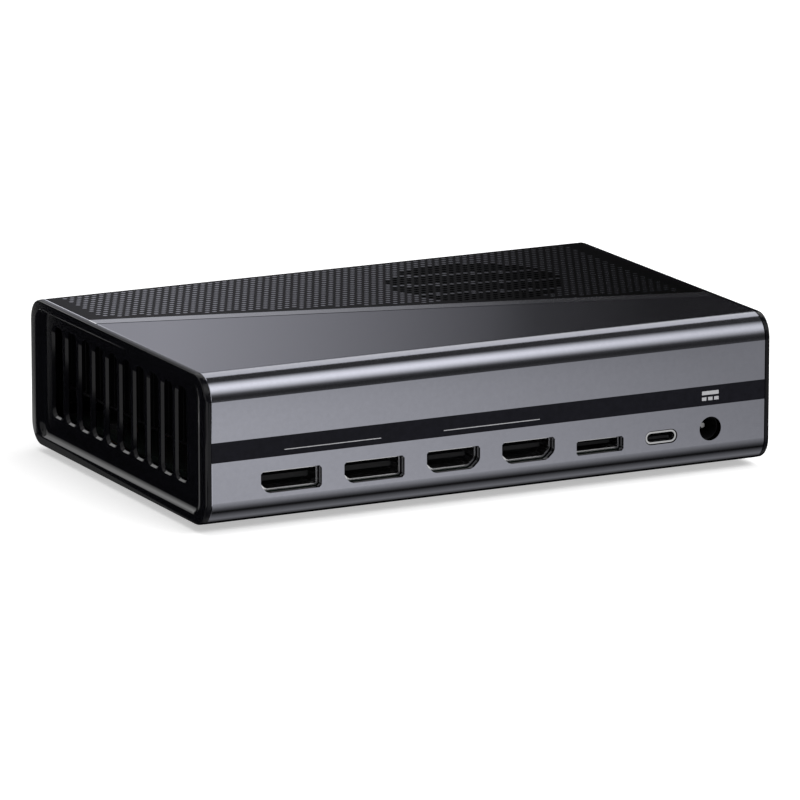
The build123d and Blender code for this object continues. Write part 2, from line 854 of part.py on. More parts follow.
stator_radius = hub_radius - hub_wall - stator_gap
with BuildPart() as stator:
    with BuildSketch(Plane.XY.offset(housing_floor + stator_boss)):
        with Locations((eye_x, eye_y)):
            Circle(stator_radius)
            with PolarLocations(stator_radius, stator_poles):
                slot_reach = 2 * (stator_radius - bearing_radius - stator_yoke)
                Rectangle(slot_reach, stator_slot, mode=Mode.SUBTRACT)
            Circle(bearing_radius + fit_play, mode=Mode.SUBTRACT)
    extrude(amount=stator_height)
save(stator.part, "stator")


def blade_plan():
    """One forward-curved blade, bowed in a few straight steps, drawn at the rotor's own centre."""
    lead = math.radians(blade_lead)
    tip_radius = rotor_radius - blade_tip_gap
    tip_x = tip_radius * math.cos(lead)
    tip_y = tip_radius * math.sin(lead)
    lower = []
    for step in range(blade_steps + 1):
        share = step / blade_steps
        x = rotor_inner_radius + share * (tip_x - rotor_inner_radius)
        y = share * tip_y - 4 * blade_bow * share * (1 - share)
        lower.append((x, y))
    upper = [(x, y + blade_thickness) for x, y in reversed(lower)]
    with BuildSketch() as plan:
        with BuildLine():
            Polyline(*lower, *upper, close=True)
        make_face()
    return plan.sketch


# Rotor: cup hub, back plate and a ring of blades
with BuildPart() as blower_rotor:
    with BuildSketch(Plane.XY.offset(rotor_bottom)):
        with Locations((eye_x, eye_y)):
            Circle(rotor_radius)
    extrude(amount=back_plate)
    with BuildSketch(Plane.XY.offset(rotor_bottom)):
        with Locations((eye_x, eye_y)):
            Circle(hub_radius)
    extrude(amount=hub_top - rotor_bottom)
    chamfer(blower_rotor.faces().sort_by(Axis.Z)[-1].edges(), hub_wall / 2)
    with BuildSketch(Plane.XY.offset(rotor_bottom)):
        with Locations((eye_x, eye_y)):
            Circle(hub_radius - hub_wall)
    extrude(amount=hub_inside - rotor_bottom, mode=Mode.SUBTRACT)
    with BuildSketch(Plane.XY.offset(hub_inside)):
        with Locations((eye_x, eye_y)):
            Circle(shaft_diameter / 2)
    extrude(amount=hub_wall, mode=Mode.SUBTRACT)
    with BuildSketch(Plane.XY.offset(rotor_bottom + back_plate)):
        with Locations((eye_x, eye_y)):
            with PolarLocations(0, blade_count):
                add(blade_plan())
    extrude(amount=rotor_top - rotor_bottom - back_plate)
save(blower_rotor.part, "blower_rotor")

with BuildPart() as rotor_shaft:
    with BuildSketch(Plane.XY.offset(housing_floor + shaft_end_gap)):
        with Locations((eye_x, eye_y)):
            Circle(shaft_diameter / 2)
    extrude(amount=hub_top - housing_floor - shaft_end_gap)
save(rotor_shaft.part, "rotor_shaft")
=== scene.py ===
"""External graphics card enclosure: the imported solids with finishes, finer pieces and studio light."""

import json
import math

import bpy
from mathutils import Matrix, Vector
from mathutils.geometry import delaunay_2d_cdt


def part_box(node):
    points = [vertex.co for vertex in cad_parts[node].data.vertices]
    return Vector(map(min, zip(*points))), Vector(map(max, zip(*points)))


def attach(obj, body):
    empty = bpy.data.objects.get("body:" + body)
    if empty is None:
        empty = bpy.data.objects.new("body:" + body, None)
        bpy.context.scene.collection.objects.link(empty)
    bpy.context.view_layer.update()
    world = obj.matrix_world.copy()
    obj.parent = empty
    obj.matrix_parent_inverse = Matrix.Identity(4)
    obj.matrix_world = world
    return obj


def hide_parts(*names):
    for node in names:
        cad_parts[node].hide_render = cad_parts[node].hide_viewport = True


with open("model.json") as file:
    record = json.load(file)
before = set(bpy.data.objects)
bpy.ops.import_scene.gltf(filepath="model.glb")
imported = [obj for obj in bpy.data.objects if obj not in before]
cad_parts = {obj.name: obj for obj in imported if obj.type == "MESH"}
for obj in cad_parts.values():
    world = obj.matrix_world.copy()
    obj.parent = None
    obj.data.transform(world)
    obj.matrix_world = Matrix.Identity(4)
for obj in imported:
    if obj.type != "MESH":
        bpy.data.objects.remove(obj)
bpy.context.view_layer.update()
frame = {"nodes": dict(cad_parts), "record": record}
nodes = frame["nodes"]
MM = 0.001

# Case form that the added pieces follow, in metres
edge_radius = 6.5 * MM
end_bevel = 0.3 * MM
grille_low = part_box("top_grille")[0]
trim_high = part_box("grille_trim")[1]
band_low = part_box("front_band")[0]
sleeve_low, sleeve_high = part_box("sleeve")
cap_low, cap_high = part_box("left_end_cap")
case_top = sleeve_high.z
case_rear = sleeve_high.y
case_middle = (sleeve_low.z + sleeve_high.z) / 2

# Fine grille: staggered round holes in a thin dark sheet
grille_thickness = 0.2 * MM
hole_pitch = 2.1 * MM
hole_radius = 0.7 * MM
hole_sides = 10
row_stagger = 0.5
plain_front = 2.4 * MM
plain_rear = 0.5 * MM
plain_end = 4.95 * MM
bend_steps = 12
pip_gap = 0.02 * MM
pip_drop = 0.03 * MM

# Fan opening under the grille: a circle crossed by bars that run with the diagonal
eye_low, eye_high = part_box("intake_gasket")
eye_place = (eye_low + eye_high) / 2
eye_radius = 23.5 * MM
bar_count = 3
bar_width = 2.8 * MM
bar_pitch = 11.6 * MM

# End caps: soft outer edge, dished field and slots with drafted walls and a cut sill
cap_round = 1.0 * MM
round_share = 0.3
rim_side = 3.4 * MM
rim_top = 2.2 * MM
rim_curve = 0.6 * MM
hollow_share = 0.4
crown_side = 1.4 * MM
crown_drop = 0.285 * MM
crown_steps = 4
dish_slope = 60.0
cap_floor = 1.2 * MM
plug_gap = 2.15 * MM
plug_wall = 1.6 * MM
slot_count = 10
slot_size = (6.9 * MM, 24.4 * MM)
slot_pitch = 8.45 * MM
slot_corner = 1.8 * MM
slot_shift = 1.7 * MM
slot_rise = 1.5 * MM
slot_draft = 30.0
slot_parting = 0.75 * MM
sill_cut = 0.45 * MM
plug_corner = 4.5 * MM
edge_steps = 4
slot_steps = 4
corner_steps = 8
curve_steps = 6

# Print on the front band
print_thickness = 0.03 * MM
line_width = 0.2 * MM
line_height = 20.45 * MM
display_line = (-59.1 * MM, -32.0 * MM)
video_line = (-14.2 * MM, 13.3 * MM)
power_mark_left = 60.7 * MM
power_mark_right = 65.6 * MM
power_bar = (21.7 * MM, 22.7 * MM)
power_dashes = (20.2 * MM, 21.1 * MM)
dash_count = 3
dash_gap = 0.5 * MM

# Painted shade on the walls of the socket cut-outs: a dark colour over a stretch of depth and of height
# behind the front face
socket_low, socket_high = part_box("video_shell_1")
cut_start = 0.1 * MM
cut_margin = 1.0 * MM
cut_depth = (sleeve_low.y + cut_start, socket_low.y)
cut_height = (socket_low.z - cut_margin, socket_high.z + cut_margin)
painted_shade_colour = (0.03, 0.03, 0.035)

# Finishes: stops of the mottle's noise, spread of the gloss and depth of the grain
mottle_stops = (0.3, 0.7)
gloss_spread = 0.1
grain_depth = 0.02 * MM

# Camera: angles in degrees, lens and sensor in millimetres
camera_place = Vector((-799.03, -1583.71, 432.31)) * MM
camera_turn = 26.789
camera_drop = 13.22
camera_lens = 313.77
camera_sensor = 36.0
camera_clip = (0.1, 100.0)

# Studio floor and sky
white = (1.0, 1.0, 1.0)
floor_reach = 20.0
floor_colour = (0.8, 0.8, 0.8)
floor_roughness = 0.9
floor_glow = 0.45
sky_fill = 0.4
sky_seen = 1.0

# Cards across the view: their ends along X
panel_span = (-0.6, 1.2)
glow_span = (-0.45, -0.03)
ceiling_span = (-0.8, 1.2)
strip_span = (-0.8, 1.3)
front_span = (-0.8, 1.4)
sheet_span = (-0.088, 1.4)
case_span = (-0.3, 0.4)

# Their long edges as Y and Z, from the wall behind over the ceiling to the floor in front
card_height = 1.0 * MM
panel_foot = (0.33, 0.0)
panel_top = (0.33, 0.27)
glow_foot = (0.32, 0.02)
glow_top = (0.32, 0.27)
ceiling_rear = (0.14, 0.6)
ceiling_front = (-0.13, 0.6)
strip_top = (-0.11, 0.834)
strip_foot = (-0.783, 0.139)
front_top = (-1.0, 0.2)
front_foot = (-1.0, -0.03)
floor_far = (-1.0, card_height)
sheet_far = (-0.5, card_height)
sheet_near = (-0.0563, card_height)
glint_near = (-0.0498, card_height)
under_rear = (0.06, card_height)

# Small card behind the left end: its place along Y, and its corners as X and Z
sill_wall = 0.318
sill_places = [(-0.177, 0.166), (-0.149, 0.118), (-0.149, 0.142), (-0.177, 0.19)]

# Cards on the floor to the left: each with its height, and its corners as X and Y
case_end = cap_low.x
flag_height = 0.4 * MM
patch_height = 0.8 * MM
near_height = 1.2 * MM
floor_patches = {
    "left_flag": (flag_height, [(case_end, -0.09), (-0.6, -0.3), (-0.6, 0.9), (case_end, 0.9)]),
    "slot_patch": (patch_height, [(-0.104, 0.0), (-0.175, -0.042), (-0.175, -0.175), (-0.094, -0.07)]),
    "edge_patch": (patch_height, [(-0.15, -0.03), (-0.24, 0.007), (-0.24, -0.084), (-0.176, -0.06)]),
    "rear_patch": (patch_height, [(case_end, 0.0505), (-0.2, 0.327), (-0.2, 0.352), (case_end, 0.062)]),
    "rear_edge_patch": (patch_height, [(case_end, 0.13), (-0.09, 0.13), (-0.11, 0.3), (case_end, 0.3)]),
    "near_patch": (near_height, [(-0.0812, -0.045), (-0.0832, -0.045), (-0.0875, 0.1), (-0.0812, 0.1)]),
}

# Fades of the cards: axis, start and end, and the share of light at each
panel_fades = [("X", 0.085, 0.215, 1.0, 0.145), ("X", 0.2, 0.26, 1.0, 0.25), ("Z", 0.05, 0.085, 0.0, 1.0)]
glow_fades = [("Z", 0.05, 0.18, 0.0, 1.0), ("Z", 0.165, 0.195, 1.0, 0.2), ("X", -0.1, -0.03, 1.0, 0.0)]
strip_fades = [("Z", 0.19, 0.488, 0.045, 1.0), ("Z", 0.488, 0.8, 1.0, 0.0), ("X", 0.27, 0.4, 1.0, 0.75)]
sheet_fades = [
    ("X", -0.03, 0.13, 1.0, 0.52),
    ("Y", -0.0735, -0.0572, 1.0, 0.015),
    ("Y", -0.26, -0.18, 0.2, 1.0),
    ("Y", -0.19, -0.1, 1.0, 0.88),
]
glint_peak = -0.052
glint_fades = [("Y", sheet_near[0], glint_peak, 0.04, 1.0), ("Y", glint_peak, glint_near[0], 1.0, 0.0)]

# How bright each card shows, and the tint of the one behind
card_levels = {
    "back_panel": 0.49,
    "left_glow": 2.8,
    "sill_glow": 3.0,
    "high_panel": 1.4,
    "overhead_flag": 0.075,
    "front_strip": 2.4,
    "front_flag": 0.05,
    "far_floor_flag": 0.075,
    "front_sheet": 1.15,
    "edge_glint": 0.4,
    "under_flag": 0.0,
    "left_flag": 0.0,
    "slot_patch": 1.6,
    "edge_patch": 1.6,
    "rear_patch": 1.5,
    "rear_edge_patch": 0.75,
    "near_patch": 0.25,
}
panel_tint = (1.0, 1.0, 1.08)


def new_material(name):
    """Node material: returns the material, its nodes, its links and the shader."""
    material = bpy.data.materials.new(name)
    material.use_nodes = True
    tree = material.node_tree
    shader = tree.nodes["Principled BSDF"]
    return material, tree.nodes, tree.links, shader


def grain(tree_nodes, links, scale):
    """Noise in the object's own space, as fine as its scale per metre."""
    place = tree_nodes.new("ShaderNodeTexCoord")
    noise = tree_nodes.new("ShaderNodeTexNoise")
    noise.inputs["Scale"].default_value = scale
    links.new(place.outputs["Object"], noise.inputs["Vector"])
    return noise.outputs["Fac"]


def surface(name, colour, roughness, metallic=0.0, spread=0.08, mottle=900.0, fine=5000.0, bump=0.02,
            specular=0.5):
    """Finish with a slight mottle in its colour, an uneven gloss and a fine grain."""
    material, tree_nodes, links, shader = new_material(name)
    ramp = tree_nodes.new("ShaderNodeValToRGB")
    for stop, place, shade in zip(ramp.color_ramp.elements, mottle_stops, (1 - spread, 1 + spread)):
        stop.position = place
        stop.color = [channel * shade for channel in colour] + [1.0]
    links.new(grain(tree_nodes, links, mottle), ramp.inputs["Fac"])
    links.new(ramp.outputs["Color"], shader.inputs["Base Color"])
    gloss = tree_nodes.new("ShaderNodeMapRange")
    gloss.inputs["To Min"].default_value = roughness * (1 - gloss_spread)
    gloss.inputs["To Max"].default_value = roughness * (1 + gloss_spread)
    fine_grain = grain(tree_nodes, links, fine)
    links.new(fine_grain, gloss.inputs["Value"])
    links.new(gloss.outputs["Result"], shader.inputs["Roughness"])
    relief = tree_nodes.new("ShaderNodeBump")
    relief.inputs["Strength"].default_value = bump
    relief.inputs["Distance"].default_value = grain_depth
    links.new(fine_grain, relief.inputs["Height"])
    links.new(relief.outputs["Normal"], shader.inputs["Normal"])
    shader.inputs["Metallic"].default_value = metallic
    shader.inputs["Specular IOR Level"].default_value = specular
    return material


finishes = {
    "sleeve_anodised": surface("anodised_aluminium", (0.283, 0.287, 0.325), 0.14, metallic=1.0,
                               spread=0.02, bump=0.03),
    "grille_dark": surface("dark_sheet", (0.0013, 0.0013, 0.0014), 0.25, spread=0.15, bump=0.05,
                           specular=0.013),
    "trim_polished": surface("polished_trim", (0.52, 0.525, 0.55), 0.15, metallic=1.0, spread=0.02),
    "band_black": surface("black_inlay", (0.0055, 0.0055, 0.008), 0.35, spread=0.15, specular=0.05),
    "cap_black": surface("gloss_black", (0.003, 0.003, 0.004), 0.07, spread=0.15, specular=0.15),
    "foot_rubber": surface("rubber", (0.015, 0.015, 0.016), 0.75, spread=0.2, bump=0.1),
    "socket_metal": surface("plated_sheet", (0.6, 0.6, 0.61), 0.25, metallic=1.0, spread=0.04),
    "insulator_black": surface("moulded_black", (0.006, 0.006, 0.007), 0.5, spread=0.15, specular=0.2),
    "pin_plated": surface("plated_pin", (0.3, 0.3, 0.3), 0.2, metallic=1.0, spread=0.03),
    "board_green": surface("coated_laminate", (0.002, 0.008, 0.005), 0.4, spread=0.3, mottle=400.0),
    "spacer_brass": surface("turned_brass", (0.7, 0.52, 0.22), 0.3, metallic=1.0),
    "screw_steel": surface("black_oxide", (0.012, 0.012, 0.013), 0.45, specular=0.2),
    "die_grey": surface("bare_silicon", (0.13, 0.13, 0.15), 0.12),
    "chip_black": surface("moulded_chip", (0.015, 0.015, 0.016), 0.6, spread=0.2, bump=0.08),
    "pad_grey": surface("soft_pad", (0.05, 0.052, 0.06), 0.8, bump=0.1),
    "inductor_grey": surface("pressed_core", (0.09, 0.09, 0.095), 0.6, spread=0.2, bump=0.15),
    "capacitor_body": surface("moulded_block", (0.42, 0.3, 0.06), 0.5),
    "header_white": surface("moulded_off_white", (0.75, 0.73, 0.66), 0.5, spread=0.04),
    "copper_bare": surface("darkened_copper", (0.16, 0.08, 0.05), 0.4, metallic=1.0),
    "fin_aluminium": surface("black_coated_fins", (0.002, 0.002, 0.0025), 0.5, spread=0.15, bump=0.05,
                             specular=0.05),
    "blower_black": surface("blower_plastic", (0.012, 0.012, 0.013), 0.5, spread=0.15, bump=0.05),
    "gasket_foam": surface("closed_foam", (0.02, 0.02, 0.021), 0.9, spread=0.25, bump=0.2),
    "stator_steel": surface("varnished_core", (0.24, 0.16, 0.1), 0.4, metallic=0.5),
    "shaft_steel": surface("ground_steel", (0.65, 0.65, 0.66), 0.2, metallic=1.0),
}


def paint_cut_wall_shade(material):
    """Painted shade on the walls of the socket cut-outs: a dark base colour, found by their depth and
    height in the front.
    """
    tree = material.node_tree
    base = tree.nodes["Principled BSDF"].inputs["Base Color"]
    finish = base.links[0].from_socket
    place = tree.nodes.new("ShaderNodeTexCoord")
    axes = tree.nodes.new("ShaderNodeSeparateXYZ")
    tree.links.new(place.outputs["Object"], axes.inputs["Vector"])
    cut = tree.nodes.new("ShaderNodeMath")
    cut.operation = "MULTIPLY"
    for number, (axis, low, high) in enumerate((("Y", *cut_depth), ("Z", *cut_height))):
        inside = tree.nodes.new("ShaderNodeMath")
        inside.operation = "COMPARE"
        inside.inputs[1].default_value = (low + high) / 2
        inside.inputs[2].default_value = (high - low) / 2
        tree.links.new(axes.outputs[axis], inside.inputs[0])
        tree.links.new(inside.outputs["Value"], cut.inputs[number])
    mix = tree.nodes.new("ShaderNodeMixRGB")
    mix.inputs["Color2"].default_value = (*painted_shade_colour, 1.0)
    tree.links.new(cut.outputs["Value"], mix.inputs["Fac"])
    tree.links.new(finish, mix.inputs["Color1"])
    tree.links.new(mix.outputs["Color"], base)


# Painted shade: the walls of the socket cut-outs get a dark colour that stands in for the shade in them
paint_cut_wall_shade(finishes["sleeve_anodised"])
print_white = surface("printed_white", (0.3, 0.3, 0.315), 0.5, spread=0.03)

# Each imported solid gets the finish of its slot
for part in frame["record"]["subparts"]:
    mesh = nodes[part["node"]].data
    mesh.materials.clear()
    mesh.materials.append(finishes[part["material_slot"]])


def add_mesh(name, vertices, faces, material, slot, smooth=()):
    """New piece of the enclosure, with its finish, and with the numbered faces shaded smooth."""
    mesh = bpy.data.meshes.new(name)
    mesh.from_pydata(vertices, [], faces)
    for number in smooth:
        mesh.polygons[number].use_smooth = True
    mesh.update()
    mesh.materials.append(material)
    piece = bpy.data.objects.new(name, mesh)
    bpy.context.scene.collection.objects.link(piece)
    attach(piece, "enclosure")
    return piece


# Cutting of flat areas: triangles inside the outlines only, and the distance that welds two points
inside_only = 1
weld_distance = 1e-9


def cut_triangles(outline, holes):
    """Flat area with holes in it, as points and triangles that keep the points' order."""
    flat = [Vector(point) for point in outline]
    loops = [list(range(len(flat)))]
    for hole in holes:
        loops.append(list(range(len(flat), len(flat) + len(hole))))
        flat += [Vector(point) for point in hole]
    points, _, triangles, _, _, origins = delaunay_2d_cdt(flat, [], loops, inside_only, weld_distance)
    kept = [tuple(triangle) for triangle, origin in zip(triangles, origins) if origin == [0]]
    return points, kept


# Fine grille, worked out flat and then bent down over the rear round
bend_start = case_rear - edge_radius
bend_length = edge_radius * math.pi / 2
bend_places = [bend_start + bend_length * step / bend_steps for step in range(bend_steps + 1)]
sheet_left = sleeve_low.x + end_bevel
sheet_right = sleeve_high.x - end_bevel


def diagonal(x):
    """Front edge of the grille at a place along the case."""
    share = (x - sleeve_low.x) / (sleeve_high.x - sleeve_low.x)
    return trim_high.y + share * (grille_low.y - trim_high.y)


def bent(x, along, depth):
    """Place of a flat sheet point once the sheet is bent, at a depth below its outer face."""
    if along <= bend_start:
        return (x, along, case_top - depth)
    angle = (along - bend_start) / edge_radius
    radius = edge_radius - depth
    return (x, bend_start + radius * math.sin(angle), case_top - edge_radius + radius * math.cos(angle))


def hole_centres():
    """Staggered rows from the rear round to the diagonal, with a plain strip all round."""
    centres = []
    first = sheet_left + plain_end
    columns = int((sheet_right - plain_end - first) / hole_pitch)
    row = 0
    along = bend_start - plain_rear - hole_radius
    while along > grille_low.y:
        for column in range(columns + 1):
            x = first + (column + row_stagger * (row % 2)) * hole_pitch
            if x < sheet_right - plain_end and along - hole_radius - plain_front > diagonal(x):
                centres.append((x, along))
        row += 1
        along -= hole_pitch
    return centres


def ring_points(centre, radius):
    """Corners of one many-sided hole or pip."""
    turns = [2 * math.pi * side / hole_sides for side in range(hole_sides)]
    return [(centre[0] + radius * math.cos(turn), centre[1] + radius * math.sin(turn)) for turn in turns]


def perforated_sheet(centres):
    """Points and faces of the grille: both faces, the hole walls and the outer edge."""
    outline = [(sheet_left, bend_start), (sheet_left, diagonal(sheet_left))]
    outline += [(sheet_right, diagonal(sheet_right)), (sheet_right, bend_start)]
    points, solid = cut_triangles(outline, [ring_points(centre, hole_radius) for centre in centres])
    points = [(point.x, point.y) for point in points]
    left, right = 0, len(outline) - 1
    for along in bend_places[1:]:
        next_left, next_right = len(points), len(points) + 1
        points += [(sheet_left, along), (sheet_right, along)]
        solid += [(left, right, next_right), (left, next_right, next_left)]
        left, right = next_left, next_right
    count = len(points)
    vertices = [bent(x, y, 0.0) for x, y in points] + [bent(x, y, grille_thickness) for x, y in points]
    faces = solid + [tuple(count + i for i in reversed(triangle)) for triangle in solid]
    free_edges = {}
    for a, b, c in solid:
        for start, end in ((a, b), (b, c), (c, a)):
            if (end, start) in free_edges:
                del free_edges[(end, start)]
            else:
                free_edges[(start, end)] = True
    faces += [(b, a, count + a, count + b) for a, b in free_edges]
    return vertices, faces


def over_opening(x, y):
    """True where the sleeve below is open to the fan."""
    along_x, along_y = x - eye_place.x, y - eye_place.y
    slope = math.atan2(grille_low.y - trim_high.y, sleeve_high.x - sleeve_low.x)
    away = along_y * math.cos(slope) - along_x * math.sin(slope)
    bars = [(i - (bar_count - 1) / 2) * bar_pitch for i in range(bar_count)]
    on_bar = any(abs(away - bar) < bar_width / 2 for bar in bars)
    return math.hypot(along_x, along_y) < eye_radius and not on_bar


def sleeve_pips(centres):
    """Points and faces of the bare metal pips that fill the holes where the sleeve lies under them."""
    vertices, faces = [], []
    for centre in centres:
        if over_opening(*centre):
            continue
        start = len(vertices)
        ring = ring_points(centre, hole_radius - pip_gap)
        vertices += [bent(x, along, pip_drop) for x, along in ring]
        vertices += [bent(x, along, grille_thickness) for x, along in ring]
        faces.append(tuple(start + i for i in range(hole_sides)))
        faces.append(tuple(start + hole_sides + i for i in reversed(range(hole_sides))))
        for i in range(hole_sides):
            j = (i + 1) % hole_sides
            faces.append((start + j, start + i, start + hole_sides + i, start + hole_sides + j))
    return vertices, faces


def end_strips():
    """Points and faces of the bare bevels that close the sheet's two ends, each a thin wedge."""
    vertices, faces = [], []
    corners = 3
    for end, outward in ((sheet_left, -1), (sheet_right, 1)):
        alongs = [diagonal(end)] + bend_places
        start = len(vertices)
        for along in alongs:
            vertices.append(bent(end, along, 0.0))
            vertices.append(bent(end + outward * grille_thickness, along, grille_thickness))
            vertices.append(bent(end, along, grille_thickness))
        last = start + corners * (len(alongs) - 1)
        sides = [(start, start + 1, start + 2), (last + 2, last + 1, last)]
        for ring in range(start, last, corners):
            for i, j in ((0, 1), (1, 2), (2, 0)):
                sides.append((ring + j, ring + i, ring + corners + i, ring + corners + j))
        faces += sides if outward > 0 else [tuple(reversed(side)) for side in sides]
    return vertices, faces


grille_centres = hole_centres()
grille_sheet = perforated_sheet(grille_centres)
fine_grille = add_mesh("fine_grille", *grille_sheet, finishes["grille_dark"], "grille_dark")
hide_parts("top_grille")
add_mesh("grille_pips", *sleeve_pips(grille_centres), finishes["sleeve_anodised"], "sleeve_anodised")
add_mesh("grille_ends", *end_strips(), finishes["sleeve_anodised"], "sleeve_anodised")

# End caps: loops of the rounded section are joined into one closed skin, and the slots are cut through it
half_depth = (sleeve_high.y - sleeve_low.y) / 2
half_height = (sleeve_high.z - sleeve_low.z) / 2
flange = sleeve_low.x - cap_low.x
plug_depth = cap_high.x - sleeve_low.x
steepest = math.radians(dish_slope)
side_curve = (flange - crown_drop) / (1 - math.cos(steepest))
end_curve = flange / (1 - math.cos(steepest)) - rim_curve


def rounded(half_y, half_z, radius, centre, steps=corner_steps):
    """Rounded rectangle round a centre, anticlockwise seen from +X, in places along Y and Z."""
    points = []
    for quarter, (sign_y, sign_z) in enumerate(((1, 1), (-1, 1), (-1, -1), (1, -1))):
        for step in range(steps + 1):
            turn = math.radians(90 * (quarter + step / steps))
            y = centre[0] + sign_y * (half_y - radius) + radius * math.cos(turn)
            z = centre[1] + sign_z * (half_z - radius) + radius * math.sin(turn)
            points.append((y, z))
    return points


def section(side, top, bottom, shrink):
    """Loop of the case's section, moved in from its sides, top and bottom, with a smaller corner radius."""
    half_z = half_height - (top + bottom) / 2
    centre = (0.0, case_middle + (bottom - top) / 2)
    return rounded(half_depth - side, half_z, edge_radius - shrink, centre)


def plug_section(inset):
    """Loop of the plug inside the sleeve, with its corners cut off straight."""
    return rounded(half_depth - inset, half_height - inset, plug_corner, (0.0, case_middle), steps=1)


def slot_outlines(grow, drop=0.0):
    """Outlines of all the slots, grown all round and drawn down at the lower edge."""
    outlines = []
    half_y = slot_size[0] / 2 + grow
    half_z = slot_size[1] / 2 + grow + drop / 2
    for number in range(slot_count):
        y = slot_shift + (number - (slot_count - 1) / 2) * slot_pitch
        centre = (y, case_middle + slot_rise - drop / 2)
        outlines.append(rounded(half_y, half_z, slot_corner, centre, slot_steps))
    return outlines


class Skin:
    """Points and faces of a cap under construction: x counts outwards from the sleeve's end."""

    def __init__(self):
        self.vertices = []
        self.faces = []
        self.smooth = []

    def loop(self, outline, x):
        """New loop of points at one x, given back as their numbers."""
        start = len(self.vertices)
        self.vertices += [(x, y, z) for y, z in outline]
        return list(range(start, len(self.vertices)))

    def band(self, outer, inner, smooth=False):
        """Faces between two loops of equal count."""
        for i in range(len(outer)):
            j = (i + 1) % len(outer)
            if smooth:
                self.smooth.append(len(self.faces))
            self.faces.append((outer[i], outer[j], inner[j], inner[i]))

    def plate(self, outer, holes, facing_out):
        """Flat area between an outer loop and the loops of its holes."""
        loops = [outer] + holes
        order = [i for loop in loops for i in loop]
        flat = [[self.vertices[i][1:] for i in loop] for loop in loops]
        _, triangles = cut_triangles(flat[0], flat[1:])
        for triangle in triangles:
            corners = tuple(order[i] for i in triangle)
            self.faces.append(corners if facing_out else tuple(reversed(corners)))


def dish_rises():
    """Heights over the field of the loops between the rim and the field."""
    rises = [flange - crown_drop * step / crown_steps for step in range(1, crown_steps + 1)]
    turns = [steepest * (1 - step / curve_steps) for step in range(1, curve_steps + 1)]
    return rises + [side_curve * (1 - math.cos(turn)) for turn in turns]


def side_inset(rise):
    """Way in from the rim's sides at a height over the field: a tilted strip, then a hollow curve."""
    drop = flange - rise
    if drop < crown_drop:
        return crown_side * drop / crown_drop
    return crown_side + side_curve * (math.sin(steepest) - math.sin(math.acos(1 - rise / side_curve)))


def end_inset(rise):
    """Way in from the rim's bottom at a height over the field: an outward curve, then a hollow one."""
    drop = flange - rise
    if drop < rim_curve * (1 - math.cos(steepest)):
        return rim_curve * math.sin(math.acos(1 - drop / rim_curve))
    full_inset = (rim_curve + end_curve) * math.sin(steepest)
    return full_inset - end_curve * math.sin(math.acos(1 - rise / end_curve))


def end_cap(name, side):
    """One end cap: flange, soft edge, dished field, drafted slots and the plug inside the sleeve."""
    skin = Skin()
    flange_back = skin.loop(section(0.0, 0.0, 0.0, 0.0), 0.0)
    edge = flange_back
    for step in range(edge_steps + 1):
        turn = math.radians(90 * step / edge_steps)
        inset = cap_round * (1 - math.cos(turn))
        edge_drop = inset * round_share
        outline = section(inset, edge_drop, edge_drop, inset)
        ring = skin.loop(outline, flange - cap_round * (1 - math.sin(turn)))
        skin.band(edge, ring, smooth=step > 0)
        edge = ring
    rim = skin.loop(section(rim_side, rim_top, rim_top, rim_top), flange)
    skin.band(edge, rim)
    for number, rise in enumerate(dish_rises()):
        hollow = end_inset(rise)
        bottom = rim_top + hollow
        outline = section(rim_side + side_inset(rise), rim_top + hollow * hollow_share, bottom, bottom)
        ring = skin.loop(outline, rise)
        skin.band(rim, ring, smooth=number >= crown_steps)
        rim = ring
    slope = math.tan(math.radians(slot_draft))
    lips = [skin.loop(outline, 0.0) for outline in slot_outlines(0.0, sill_cut * (1 - slope))]
    skin.plate(rim, lips, True)
    steps_in = ((sill_cut, -sill_cut * slope), (slot_parting, -slot_parting * slope), (cap_floor, 0.0))
    for depth, grow in steps_in:
        rings = [skin.loop(outline, -depth) for outline in slot_outlines(grow)]
        for lip, ring in zip(lips, rings):
            skin.band(lip, ring)
        lips = rings
    floor_back = skin.loop(plug_section(plug_gap + plug_wall), -cap_floor)
    skin.plate(floor_back, lips, False)
    plug_inner = skin.loop(plug_section(plug_gap + plug_wall), -plug_depth)
    skin.band(floor_back, plug_inner)
    plug_outer = skin.loop(plug_section(plug_gap), -plug_depth)
    skin.band(plug_inner, plug_outer)
    plug_root = skin.loop(plug_section(plug_gap), 0.0)
    skin.band(plug_outer, plug_root)
    skin.plate(flange_back, [plug_root], False)
    vertices = [(side * (sleeve_high.x + x), y, z) for x, y, z in skin.vertices]
    faces = skin.faces if side > 0 else [tuple(reversed(face)) for face in skin.faces]
    cap = add_mesh(name + "_skin", vertices, faces, finishes["cap_black"], "cap_black", skin.smooth)
    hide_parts(name)


end_cap("left_end_cap", -1)
end_cap("right_end_cap", 1)

# Print: two lines over the socket pairs and the mark for direct current
band_face = band_low.y


def printed(left, right, low, high):
    """One flat printed block on the face of the band, as its lowest and highest corner."""
    return (left, band_face - print_thickness, low), (right, band_face, high)


def join_blocks(blocks):
    """Several upright blocks as one set of points and faces."""
    vertices, faces = [], []
    for low, high in blocks:
        start = len(vertices)
        span_x, span_y, span_z = zip(low, high)
        vertices += [(x, y, z) for z in span_z for y in span_y for x in span_x]
        sides = [(0, 2, 3, 1), (4, 5, 7, 6), (0, 1, 5, 4), (2, 6, 7, 3), (0, 4, 6, 2), (1, 3, 7, 5)]
        faces += [tuple(start + i for i in side) for side in sides]
    return vertices, faces


legend = []
for left, right in (display_line, video_line):
    legend.append(printed(left, right, line_height - line_width / 2, line_height + line_width / 2))
legend.append(printed(power_mark_left, power_mark_right, *power_bar))
dash_length = (power_mark_right - power_mark_left - (dash_count - 1) * dash_gap) / dash_count
for number in range(dash_count):
    left = power_mark_left + number * (dash_length + dash_gap)
    legend.append(printed(left, left + dash_length, *power_dashes))
add_mesh("band_print", *join_blocks(legend), print_white, "band_black")

# Studio: floor, lamps and the cards that show only in reflections
scene = bpy.context.scene


